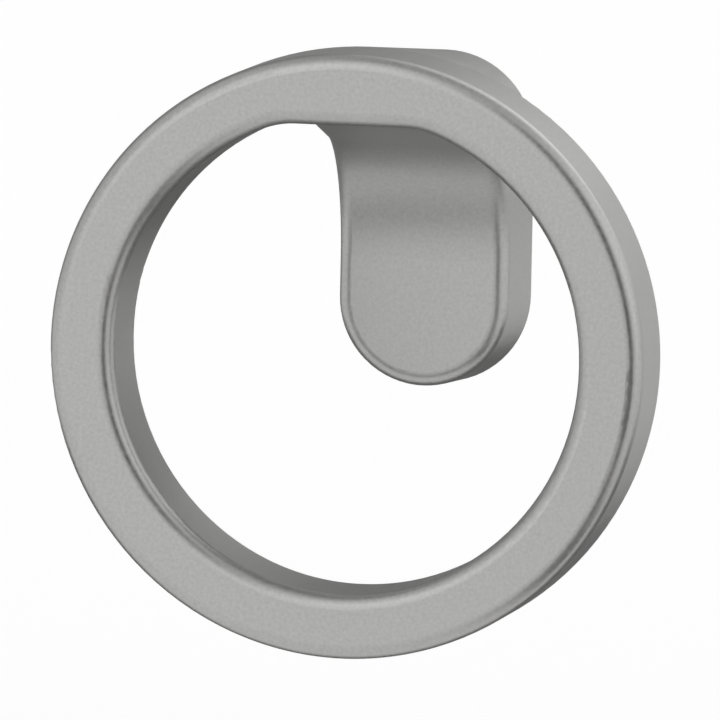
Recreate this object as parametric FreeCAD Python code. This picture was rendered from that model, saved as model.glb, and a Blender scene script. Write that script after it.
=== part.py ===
import FreeCAD, Part
import math
import os

# A cabinet knob cast in one piece. A round ring to pull on hangs from a short arm, and the arm
# grows out of the top of a stadium-shaped foot that is screwed to the cabinet from behind.
# Millimetres. The origin is the mouth of the screw hole, in the middle of the foot's flat back.
# +Y runs into the cabinet, +Z is up, and the ring's face looks towards -Y.

# Ring: outside diameter, width of the face from outside to bore, and front to back depth.
RING_DIAMETER = 45.0
RING_FACE_WIDTH = 4.85
RING_DEPTH = 7.8

# The bore's upper half circle sits this much higher than its lower one. A flat cuts off its top: how far
# it is down from the ring's top, and the radius of its two soft corners.
BORE_RAISE = 0.3
BORE_FLAT_DROP = 5.35
BORE_CORNER_RADIUS = 6.5

# Foot: a plate with half-round ends, measured at the cabinet, and how far the ring's face stands off.
FOOT_WIDTH = 13.8
FOOT_HEIGHT = 25.3
FOOT_THICKNESS = 6.9
PROJECTION = 32.2

# Draft of the foot's and the arm's walls, in degrees, and how much higher the ring's top is than the foot's.
WALL_DRAFT = 3.4
RING_ABOVE_FOOT = 2.6

# Arm: slope of its underside, in degrees, the hollow corner where it meets the foot, and its shoulders.
ARM_SLOPE = 15.0
ARM_CORNER_RADIUS = 9.8
ARM_SHOULDER_RADIUS = 1.9

# Rounding of every edge that a finger can reach. The edge against the cabinet stays sharp.
EDGE_RADIUS = 1.1

# Blind hole for an M4 machine screw: thread's outside diameter, depth, and countersink at the mouth.
SCREW_DIAMETER = 4.0
SCREW_HOLE_DEPTH = 5.4
SCREW_COUNTERSINK = 0.4

# Places that follow from the sizes.
RING_RADIUS = RING_DIAMETER / 2
BORE_RADIUS = RING_RADIUS - RING_FACE_WIDTH
FOOT_END_RADIUS = FOOT_WIDTH / 2
FOOT_END_CENTRE_Z = FOOT_HEIGHT / 2 - FOOT_END_RADIUS
RING_TOP_Z = FOOT_HEIGHT / 2 + RING_ABOVE_FOOT
RING_CENTRE_Z = RING_TOP_Z - RING_RADIUS
BORE_TOP_CENTRE_Z = RING_CENTRE_Z + BORE_RAISE
BORE_FLAT_Z = RING_TOP_Z - BORE_FLAT_DROP
RING_FACE_Y = -PROJECTION
RING_BACK_Y = RING_FACE_Y + RING_DEPTH
ARM_END_Y = RING_BACK_Y - EDGE_RADIUS
FOOT_FACE_Y = -FOOT_THICKNESS

# Room by which a cutting solid runs past what it cuts, and how near a point on an edge has to lie
# to a surface to count as being on it.
CUT_MARGIN = 5.0
ON_SURFACE = 0.001

# Where the half-round top of the foot is split, in degrees from its highest point, to match the arm's
# top and shoulders.
FOOT_SHOULDER_ANGLE = 35.0

INTO_CABINET = FreeCAD.Vector(0, 1, 0)
ACROSS = FreeCAD.Vector(1, 0, 0)


def point(x, y, z):
    return FreeCAD.Vector(x, y, z)


def line(start, end):
    return Part.LineSegment(start, end).toShape()


def arc(start, middle, end):
    return Part.Arc(start, middle, end).toShape()


def round_edges(solid, radius, wanted):
    """Rounds the edges of the solid whose middle point passes the test."""
    edges = []
    for edge in solid.Edges:
        middle = edge.valueAt((edge.FirstParameter + edge.LastParameter) / 2)
        if wanted(middle):
            edges.append(edge)
    return solid.makeFillet(radius, edges)


def half_width(y):
    """Half the width of the foot and the arm, which get narrower towards the ring by the draft."""
    return FOOT_END_RADIUS + y * math.tan(math.radians(WALL_DRAFT))


def bore_outline(y):
    """The ring's hole: nearly round, with a flat top and a soft corner at each end of the flat."""
    corner_z = BORE_FLAT_Z - BORE_CORNER_RADIUS
    corner_reach = BORE_RADIUS - BORE_CORNER_RADIUS
    rise = corner_z - BORE_TOP_CENTRE_Z
    corner_x = math.sqrt(corner_reach ** 2 - rise ** 2)
    lean = math.atan2(corner_x, rise)

    def on_corner(side, angle):
        x = corner_x + BORE_CORNER_RADIUS * math.sin(angle)
        return point(side * x, y, corner_z + BORE_CORNER_RADIUS * math.cos(angle))

    def on_top_circle(side, angle):
        z = BORE_TOP_CENTRE_Z + BORE_RADIUS * math.cos(angle)
        return point(side * BORE_RADIUS * math.sin(angle), y, z)

    def corner(side):
        return arc(on_corner(side, 0), on_corner(side, lean / 2), on_corner(side, lean))

    def shoulder(side):
        end = point(side * BORE_RADIUS, y, BORE_TOP_CENTRE_Z)
        return arc(on_corner(side, lean), on_top_circle(side, math.radians(60)), end)

    def cheek(side):
        return line(point(side * BORE_RADIUS, y, BORE_TOP_CENTRE_Z), point(side * BORE_RADIUS, y, RING_CENTRE_Z))

    flat = line(on_corner(-1, 0), on_corner(1, 0))
    bottom = point(0, y, RING_CENTRE_Z - BORE_RADIUS)
    lower = arc(point(BORE_RADIUS, y, RING_CENTRE_Z), bottom, point(-BORE_RADIUS, y, RING_CENTRE_Z))
    return Part.Wire([flat, corner(1), shoulder(1), cheek(1), lower, cheek(-1), shoulder(-1), corner(-1)])


def make_ring():
    """The ring: a round disc with the flat-topped bore, rounded on all four rims."""
    centre = point(0, RING_FACE_Y, RING_CENTRE_Z)
    disc = Part.makeCylinder(RING_RADIUS, RING_DEPTH, centre, INTO_CABINET)
    bore = Part.Face(bore_outline(RING_FACE_Y - CUT_MARGIN))
    ring = disc.cut(bore.extrude(INTO_CABINET * (RING_DEPTH + 2 * CUT_MARGIN)))

    def on_rim(middle):
        on_face = abs(middle.y - RING_FACE_Y) < ON_SURFACE
        on_back = abs(middle.y - RING_BACK_Y) < ON_SURFACE
        return on_face or on_back

    return round_edges(ring, EDGE_RADIUS, on_rim)


def foot_outline(y):
    """The foot at a depth: straight sides and half-round ends, smaller towards the front by the draft."""
    r = half_width(y)
    z = FOOT_END_CENTRE_Z
    top = arc(point(r, y, z), point(0, y, z + r), point(-r, y, z))
    left = line(point(-r, y, z), point(-r, y, -z))
    bottom = arc(point(-r, y, -z), point(0, y, -z - r), point(r, y, -z))
    right = line(point(r, y, -z), point(r, y, z))
    return Part.Wire([top, left, bottom, right])


def arm_edges(y, top_centre_z, top_radius, shoulder_radius, shoulder_angle):
    """The arm's outline at a depth: a round top, a shoulder each side, and straight sides down the foot."""
    between = top_radius - shoulder_radius
    shoulder_x = between * math.sin(shoulder_angle)
    shoulder_z = top_centre_z + between * math.cos(shoulder_angle)
    side_angle = math.pi / 2

    def on_shoulder(side, angle):
        x = shoulder_x + shoulder_radius * math.sin(angle)
        return point(side * x, y, shoulder_z + shoulder_radius * math.cos(angle))

    def shoulder(side, start, end):
        return arc(on_shoulder(side, start), on_shoulder(side, (start + end) / 2), on_shoulder(side, end))

    crest = point(0, y, top_centre_z + top_radius)
    foot_right = point(shoulder_x + shoulder_radius, y, -FOOT_END_CENTRE_Z)
    foot_left = point(-foot_right.x, y, -FOOT_END_CENTRE_Z)
    return [
        arc(on_shoulder(-1, shoulder_angle), crest, on_shoulder(1, shoulder_angle)),
        shoulder(1, shoulder_angle, side_angle),
        line(on_shoulder(1, side_angle), foot_right),
        line(foot_right, foot_left),
        line(foot_left, on_shoulder(-1, side_angle)),
        shoulder(-1, side_angle, shoulder_angle),
    ]


def face_between(near, far):
    """The face that joins two edges: flat between two straight ones, and ruled between two arcs."""
    if near.Curve.TypeId != "Part::GeomLine":
        return Part.makeRuledSurface(near, far)
    start = line(far.Vertexes[0].Point, near.Vertexes[0].Point)
    end = line(near.Vertexes[1].Point, far.Vertexes[1].Point)
    return Part.Face(Part.Wire([start, near, end, far]))


def make_arm_block():
    """The arm before the hand space is taken out: it runs from the ring's top down to the foot's top."""
    reach = half_width(ARM_END_Y) - ARM_SHOULDER_RADIUS
    ring_angle = math.asin(reach / (RING_RADIUS - ARM_SHOULDER_RADIUS))
    foot_angle = math.radians(FOOT_SHOULDER_ANGLE)
    at_ring = arm_edges(ARM_END_Y, RING_CENTRE_Z, RING_RADIUS, ARM_SHOULDER_RADIUS, ring_angle)
    at_foot = arm_edges(0, FOOT_END_CENTRE_Z, FOOT_END_RADIUS, FOOT_END_RADIUS, foot_angle)
    faces = [face_between(near, far) for near, far in zip(at_ring, at_foot)]
    faces.append(Part.Face(Part.Wire(at_ring)))
    faces.append(Part.Face(Part.Wire(at_foot)))
    shell = Part.makeShell(faces)
    shell.sewShape()
    return Part.makeSolid(shell)


def hand_space():
    """What is taken away in front of the foot and under the arm, with its hollow corner."""
    slope = math.radians(ARM_SLOPE)
    x = -FOOT_WIDTH
    front_y = RING_FACE_Y - CUT_MARGIN
    below_z = -FOOT_HEIGHT / 2 - CUT_MARGIN
    corner_y = FOOT_FACE_Y - ARM_CORNER_RADIUS

    def underside_z(y):
        return BORE_FLAT_Z - (y - ARM_END_Y) * math.tan(slope)

    corner_z = underside_z(corner_y) - ARM_CORNER_RADIUS / math.cos(slope)
    arm_angle = math.pi / 2 - slope

    def on_corner(angle):
        y = corner_y + ARM_CORNER_RADIUS * math.cos(angle)
        return point(x, y, corner_z + ARM_CORNER_RADIUS * math.sin(angle))

    front_low = point(x, front_y, below_z)
    foot_low = point(x, FOOT_FACE_Y, below_z)
    arm_far = point(x, front_y, underside_z(front_y))
    profile = Part.Wire([
        line(front_low, foot_low),
        line(foot_low, on_corner(0)),
        arc(on_corner(0), on_corner(arm_angle / 2), on_corner(arm_angle)),
        line(on_corner(arm_angle), arm_far),
        line(arm_far, front_low),
    ])
    return Part.Face(profile).extrude(ACROSS * (2 * FOOT_WIDTH))


def on_outer_wall(middle):
    """True for a point on the drafted side of the foot or arm, or on the foot's round lower end."""
    below_end = max(-middle.z - FOOT_END_CENTRE_Z, 0)
    return abs(math.hypot(middle.x, below_end) - half_width(middle.y)) < ON_SURFACE


def make_foot_and_arm():
    """The foot and its arm, which ends inside the ring."""
    foot = Part.makeLoft([foot_outline(0), foot_outline(FOOT_FACE_Y)], True, True)
    space = hand_space()
    hook = foot.fuse(make_arm_block()).cut(space).removeSplitter()

    def on_front_edge(middle):
        behind_ring = middle.y > ARM_END_Y + ON_SURFACE
        before_back = middle.y < -ON_SURFACE
        on_space = space.distToShape(Part.Vertex(middle))[0] < ON_SURFACE
        return behind_ring and before_back and on_space and on_outer_wall(middle)

    return round_edges(hook, EDGE_RADIUS, on_front_edge)


def screw_hole():
    """The blind hole in the foot's back, with its countersunk mouth."""
    radius = SCREW_DIAMETER / 2
    out_of_cabinet = INTO_CABINET * -1
    hole = Part.makeCylinder(radius, SCREW_HOLE_DEPTH, point(0, 0, 0), out_of_cabinet)
    mouth = Part.makeCone(radius + SCREW_COUNTERSINK, radius, SCREW_COUNTERSINK, point(0, 0, 0), out_of_cabinet)
    return hole.fuse(mouth)


def make_knob():
    casting = make_ring().fuse(make_foot_and_arm()).removeSplitter()
    return casting.cut(screw_hole())


def main():
    os.makedirs("parts", exist_ok=True)
    knob = make_knob()
    knob.exportStep("parts/ring_knob.step")


main()
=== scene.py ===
import math

import bpy
from mathutils import Matrix, Vector


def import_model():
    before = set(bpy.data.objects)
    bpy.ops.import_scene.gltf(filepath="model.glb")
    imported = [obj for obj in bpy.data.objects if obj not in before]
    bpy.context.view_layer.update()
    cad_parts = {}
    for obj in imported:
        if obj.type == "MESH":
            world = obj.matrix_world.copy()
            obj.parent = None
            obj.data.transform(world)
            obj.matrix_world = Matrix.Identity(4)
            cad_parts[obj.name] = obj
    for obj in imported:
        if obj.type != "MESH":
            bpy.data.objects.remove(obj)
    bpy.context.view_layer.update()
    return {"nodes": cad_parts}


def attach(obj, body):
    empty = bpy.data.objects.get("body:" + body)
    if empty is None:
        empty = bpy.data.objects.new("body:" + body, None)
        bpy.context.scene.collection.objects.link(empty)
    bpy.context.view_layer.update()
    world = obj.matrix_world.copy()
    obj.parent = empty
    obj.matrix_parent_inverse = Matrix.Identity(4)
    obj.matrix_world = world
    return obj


# Metres and degrees. The origin is the mouth of the screw hole in the foot's back, +Y runs into the
# cabinet, +Z is up, and the ring's face looks towards -Y.

# Camera: where it stands around the middle of the ring's face, in ring radii from it, and its framing.
RING_FACE_CENTRE = Vector((0.0, -0.0322, -0.00725))
RING_RADIUS = 0.0225
CAMERA_AZIMUTH = 13.32
CAMERA_ELEVATION = 6.94
CAMERA_ROLL = 1.14
CAMERA_DISTANCE = 50.0
CAMERA_ASIDE = 0.0571
CAMERA_BELOW = 0.0050
CAMERA_LENS = 762.3
CAMERA_CLIP = (0.01, 50.0)
SENSOR_WIDTH = 36.0

# Screw thread: outside radius, pitch, depth of the ridge, the stretch of hole that it fills, half the ridge's
# width at its root and the steps in one turn.
THREAD_RADIUS = 0.002
THREAD_PITCH = 0.0007
THREAD_DEPTH = 0.00038
THREAD_START = 0.0005
THREAD_END = 0.0052
THREAD_HALF_WIDTH = THREAD_PITCH * 0.42
THREAD_SEGMENTS = 40

# Satin nickel: its colour, and for the fine grain and the faint cloudiness how small they are and how much
# they change the tone and the roughness.
NICKEL_COLOUR = (0.417, 0.4165, 0.4075, 1.0)
NICKEL_ROUGHNESS = 0.36
GRAIN_SCALE = 3600.0
GRAIN_TONE = 0.42
GRAIN_ROUGHNESS = 0.15
GRAIN_BUMP = 0.12
GRAIN_HEIGHT = 0.00005
CLOUD_SCALE = 160.0
CLOUD_TONE = 0.05
CLOUD_ROUGHNESS = 0.08

# The hollow under the arm is out of a polisher's reach and rougher: the depths over which it starts behind the
# ring, the heights over which it starts on the foot and ends under the arm, and how much roughness it adds.
HOLLOW_FRONT = (-0.0242, -0.0232)
HOLLOW_FOOT = (-0.002, 0.002)
HOLLOW_TOP = (0.0100, 0.0115)
HOLLOW_ROUGHNESS = 0.1

# Studio light: its even level, then for each broad light, or dark gap between lights, the azimuth from the
# knob's front, the elevation, the angles of its core and its edge, and how much it adds or takes away.
STUDIO_LEVEL = 0.8
STUDIO_SPOTS = (
    (-150, 20, 15, 50, -0.5),
    (165, 40, 5, 30, 0.6),
    (-20, 15, 5, 32, 0.6),
    (85, 20, 10, 35, 0.5),
    (140, 30, 5, 35, 0.4),
    (0, 90, 5, 35, -0.3),
)

# Soft lamp above and to the left of the front.
LAMP_PLACE = (-0.3, -0.9, 0.9)
LAMP_SIZE = 0.8
LAMP_POWER = 0.6

# Cards that stand outside the picture, draw the thin dark lines along the right-hand edges and shade the
# undersides. For each one its name, its shade, its middle, and its whole width and height as vectors.
CARDS = (
    ("card_behind", 0.3, (-0.24, 0.25, -0.045), (0.6, 0.0, 0.0), (0.0, 0.0, 0.17)),
    ("card_below", 0.25, (-0.03, 0.13, -0.127), (0.64, 0.0, 0.0), (0.0, 0.24, 0.0)),
    ("card_behind_right", 0.78, (0.18, 0.25, -0.055), (0.12, 0.0, 0.0), (0.0, 0.0, 0.15)),
    ("card_right", 0.04, (0.14, -0.24, 0.035), (0.1, 0.066, 0.0), (0.0, 0.0, 0.4)),
    ("card_low_right", 0.06, (0.09, -0.15, -0.127), (0.08, -0.02, 0.0), (0.05, 0.19, 0.0)),
)

# Floor: how far it lies below the ring, its radius, its paint, how much light its shadows take away and how
# much it glows where it is seen.
FLOOR_BELOW_RING = 0.1
FLOOR_RADIUS = 6.0
FLOOR_SEGMENTS = 96
FLOOR_PAINT = 0.9
FLOOR_SHADOW = 0.4
FLOOR_GLOW = 0.66


class Value:
    """A shader socket that can be added, multiplied and so on like a number."""

    def __init__(self, tree, socket):
        self.tree = tree
        self.socket = socket

    def math(self, operation, *others):
        node = self.tree.nodes.new("ShaderNodeMath")
        node.operation = operation
        for index, value in enumerate((self,) + others):
            connect(self.tree, value, node.inputs[index])
        return Value(self.tree, node.outputs[0])

    def __add__(self, other):
        return self.math("ADD", other)

    __radd__ = __add__

    def __mul__(self, other):
        return self.math("MULTIPLY", other)

    __rmul__ = __mul__

    def __sub__(self, other):
        return self.math("SUBTRACT", other)

    def __rsub__(self, other):
        return (self * -1.0) + other

    def clamped(self):
        return self.math("MAXIMUM", 0.0).math("MINIMUM", 1.0)


def connect(tree, value, socket):
    """Feeds a socket with a Value, or sets it to a number or a colour."""
    if isinstance(value, Value):
        tree.links.new(value.socket, socket)
    else:
        socket.default_value = value


def grey(shade):
    return (shade, shade, shade, 1.0)


class Nodes:
    """Adds nodes to one material's or world's tree."""

    def __init__(self, owner):
        owner.use_nodes = True
        self.tree = owner.node_tree
        self.tree.nodes.clear()

    def add(self, kind, output=0, settings=None, **inputs):
        node = self.tree.nodes.new("ShaderNode" + kind)
        for name, value in (settings or {}).items():
            setattr(node, name, value)
        for name, value in inputs.items():
            connect(self.tree, value, node.inputs[name.replace("_", " ")])
        return Value(self.tree, node.outputs[output])

    def join(self, kind, *inputs):
        """Adds a node whose sockets are filled in order, such as one that mixes or adds two shaders."""
        node = self.tree.nodes.new("ShaderNode" + kind)
        for index, value in enumerate(inputs):
            connect(self.tree, value, node.inputs[index])
        return Value(self.tree, node.outputs[0])

    def output(self, kind, surface):
        """Adds the output node."""
        node = self.tree.nodes.new("ShaderNode" + kind)
        connect(self.tree, surface, node.inputs["Surface"])


def soft_step(nodes, value, low, high):
    """0 up to the low value, rising softly to 1 at the high one."""
    step = nodes.add("MapRange", output="Result", settings={"interpolation_type": "SMOOTHSTEP"})
    ramp = step.socket.node
    connect(nodes.tree, value, ramp.inputs["Value"])
    ramp.inputs["From Min"].default_value = low
    ramp.inputs["From Max"].default_value = high
    return step


def hollow_under_arm(nodes, place):
    """1 in the hollow between the arm, the foot and the ring's back, and 0 elsewhere."""
    split = nodes.add("SeparateXYZ", Vector=place)
    depth = Value(nodes.tree, split.socket.node.outputs["Y"])
    height = Value(nodes.tree, split.socket.node.outputs["Z"])
    hollow = soft_step(nodes, depth, *HOLLOW_FRONT) * soft_step(nodes, height, *HOLLOW_FOOT)
    return hollow * (1.0 - soft_step(nodes, height, *HOLLOW_TOP))


def satin_nickel():
    """Cast metal with a satin nickel finish: fine grain in the surface and a faint cloudiness in its tone."""
    material = bpy.data.materials.new("satin_nickel")
    nodes = Nodes(material)
    place = nodes.add("TexCoord", output="Object")
    grain = nodes.add("TexNoise", Vector=place, Scale=GRAIN_SCALE, Detail=3.0, Roughness=0.6)
    cloud = nodes.add("TexNoise", Vector=place, Scale=CLOUD_SCALE, Detail=2.0, Roughness=0.5)
    tone = (grain - 0.5) * GRAIN_TONE + (cloud - 0.5) * CLOUD_TONE + 1.0
    shades = nodes.add("CombineColor", Red=tone, Green=tone, Blue=tone)
    colour = nodes.add("Mix", output=2, settings={"data_type": "RGBA", "blend_type": "MULTIPLY"})
    multiply = colour.socket.node
    multiply.inputs[0].default_value = 1.0
    multiply.inputs[6].default_value = NICKEL_COLOUR
    connect(nodes.tree, shades, multiply.inputs[7])
    rough = (grain - 0.5) * GRAIN_ROUGHNESS + (cloud - 0.5) * CLOUD_ROUGHNESS
    rough = rough + hollow_under_arm(nodes, place) * HOLLOW_ROUGHNESS + NICKEL_ROUGHNESS
    bump = nodes.add("Bump", Height=grain, Strength=GRAIN_BUMP, Distance=GRAIN_HEIGHT)
    surface = nodes.add("BsdfPrincipled", Base_Color=colour, Metallic=1.0, Roughness=rough, Normal=bump)
    nodes.output("OutputMaterial", surface)
    return material


def make_thread(metal):
    """The ridge of the screw thread, wound inside the hole."""
    bpy.ops.object.select_all(action="DESELECT")
    bpy.ops.mesh.primitive_circle_add(vertices=3, radius=1.0, fill_type="NGON")
    thread = bpy.context.object
    thread.name = "screw_thread"
    corners = ((THREAD_RADIUS, 0.0), (THREAD_RADIUS - THREAD_DEPTH, 1.0), (THREAD_RADIUS, 2.0))
    for vertex, (radius, along) in zip(thread.data.vertices, corners):
        vertex.co = (radius, -THREAD_START - along * THREAD_HALF_WIDTH, 0.0)
    winding = thread.modifiers.new("winding", "SCREW")
    winding.axis = "Y"
    winding.angle = math.tau
    winding.screw_offset = -THREAD_PITCH
    winding.iterations = int((THREAD_END - THREAD_START) / THREAD_PITCH)
    winding.steps = THREAD_SEGMENTS
    winding.render_steps = THREAD_SEGMENTS
    bpy.ops.object.modifier_apply(modifier="winding")
    bpy.ops.object.mode_set(mode="EDIT")
    bpy.ops.mesh.select_all(action="SELECT")
    bpy.ops.mesh.normals_make_consistent(inside=False)
    bpy.ops.object.mode_set(mode="OBJECT")
    thread.data.materials.append(metal)
    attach(thread, "root")
    return thread


def make_camera():
    """Stands at the photograph's viewing angle, almost without perspective."""
    azimuth = math.radians(CAMERA_AZIMUTH)
    elevation = math.radians(CAMERA_ELEVATION)
    roll = math.radians(CAMERA_ROLL)
    level = math.cos(elevation)
    forward = Vector((-math.sin(azimuth) * level, math.cos(azimuth) * level, -math.sin(elevation)))
    across = Vector((math.cos(azimuth), math.sin(azimuth), 0.0))
    up = across.cross(forward)
    right = across * math.cos(roll) + up * math.sin(roll)
    above = up * math.cos(roll) - across * math.sin(roll)
    away = right * CAMERA_ASIDE - above * CAMERA_BELOW - forward * CAMERA_DISTANCE
    data = bpy.data.cameras.new("camera")
    data.sensor_width = SENSOR_WIDTH
    data.lens = CAMERA_LENS
    data.clip_start, data.clip_end = CAMERA_CLIP
    camera = bpy.data.objects.new("camera", data)
    turn = Matrix((right, above, -forward)).transposed().to_4x4()
    camera.matrix_world = Matrix.Translation(RING_FACE_CENTRE + away * RING_RADIUS) @ turn
    bpy.context.scene.collection.objects.link(camera)
    bpy.context.scene.camera = camera
    return camera


def make_lamp(name, place, size, power):
    """A square soft lamp that looks at the knob."""
    data = bpy.data.lights.new(name, "AREA")
    data.shape = "SQUARE"
    data.size = size
    data.energy = power
    lamp = bpy.data.objects.new(name, data)
    lamp.location = Vector(place)
    towards = RING_FACE_CENTRE - lamp.location
    lamp.rotation_euler = towards.to_track_quat("-Z", "Y").to_euler()
    bpy.context.scene.collection.objects.link(lamp)
    return lamp


def seen_directly(nodes):
    """1 for what is seen, straight, in metal or through glass, and 0 for the light on other surfaces."""
    rays = nodes.add("LightPath", output="Is Camera Ray")
    outputs = rays.socket.node.outputs
    glossy = Value(nodes.tree, outputs["Is Glossy Ray"])
    through = Value(nodes.tree, outputs["Is Transmission Ray"])
    return (rays + glossy + through).clamped()


def soft_spot(nodes, place, azimuth, elevation, inner, outer):
    """1 within the inner angle of a direction and falling softly to 0 at the outer angle, all in degrees.

    Azimuth 0 is in front of the knob and grows to its right.
    """
    around = math.radians(azimuth)
    height = math.radians(elevation)
    direction = (math.sin(around) * math.cos(height), -math.cos(around) * math.cos(height), math.sin(height))
    along = nodes.add("VectorMath", output="Value", settings={"operation": "DOT_PRODUCT"})
    dot = along.socket.node
    connect(nodes.tree, place, dot.inputs[0])
    dot.inputs[1].default_value = direction
    return soft_step(nodes, along, math.cos(math.radians(outer)), math.cos(math.radians(inner)))


def make_surroundings():
    """A pale studio: an even level of light, with broad soft lights and the dark gaps between them."""
    world = bpy.data.worlds.new("pale_studio")
    bpy.context.scene.world = world
    nodes = Nodes(world)
    place = nodes.add("TexCoord", output="Generated")
    light = STUDIO_LEVEL
    for azimuth, elevation, inner, outer, strength in STUDIO_SPOTS:
        light = soft_spot(nodes, place, azimuth, elevation, inner, outer) * strength + light
    sky = nodes.add("Background", Color=grey(1.0), Strength=light.math("MAXIMUM", 0.0))
    nodes.output("OutputWorld", sky)


def make_floor():
    """A pale floor that looks white where it is seen and keeps the shadows on it."""
    bpy.ops.object.select_all(action="DESELECT")
    bpy.ops.mesh.primitive_circle_add(vertices=FLOOR_SEGMENTS, radius=FLOOR_RADIUS, fill_type="NGON")
    floor = bpy.context.object
    floor.name = "floor"
    low = RING_FACE_CENTRE.z - RING_RADIUS - FLOOR_BELOW_RING
    for vertex in floor.data.vertices:
        vertex.co.z = low
    material = bpy.data.materials.new("pale_floor")
    nodes = Nodes(material)
    paint = nodes.add("BsdfDiffuse", Color=grey(FLOOR_PAINT))
    shadows = nodes.add("BsdfDiffuse", Color=grey(FLOOR_SHADOW))
    glow = nodes.add("Emission", Color=grey(1.0), Strength=FLOOR_GLOW)
    seen = nodes.join("AddShader", shadows, glow)
    nodes.output("OutputMaterial", nodes.join("MixShader", seen_directly(nodes), paint, seen))
    floor.data.materials.append(material)
    return floor


def make_card(name, shade, middle, width_way, height_way):
    """A card outside the picture. It takes light off one side of the metal and can't be seen itself."""
    bpy.ops.object.select_all(action="DESELECT")
    bpy.ops.mesh.primitive_plane_add(size=1.0)
    card = bpy.context.object
    card.name = name
    for vertex in card.data.vertices:
        across, up, _ = vertex.co
        vertex.co = Vector(middle) + across * Vector(width_way) + up * Vector(height_way)
    material = bpy.data.materials.new(name + "_cloth")
    nodes = Nodes(material)
    nodes.output("OutputMaterial", nodes.add("BsdfDiffuse", Color=grey(shade)))
    card.data.materials.append(material)
    card.visible_camera = False
    return card


def main():
    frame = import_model()
    bpy.context.scene.view_settings.view_transform = "Standard"
    metal = satin_nickel()
    for slot in frame["nodes"]["ring_knob"].material_slots:
        slot.material = metal
    make_thread(metal)
    make_floor()
    for card in CARDS:
        make_card(*card)
    make_surroundings()
    make_lamp("soft_lamp", LAMP_PLACE, LAMP_SIZE, LAMP_POWER)
    make_camera()


main()
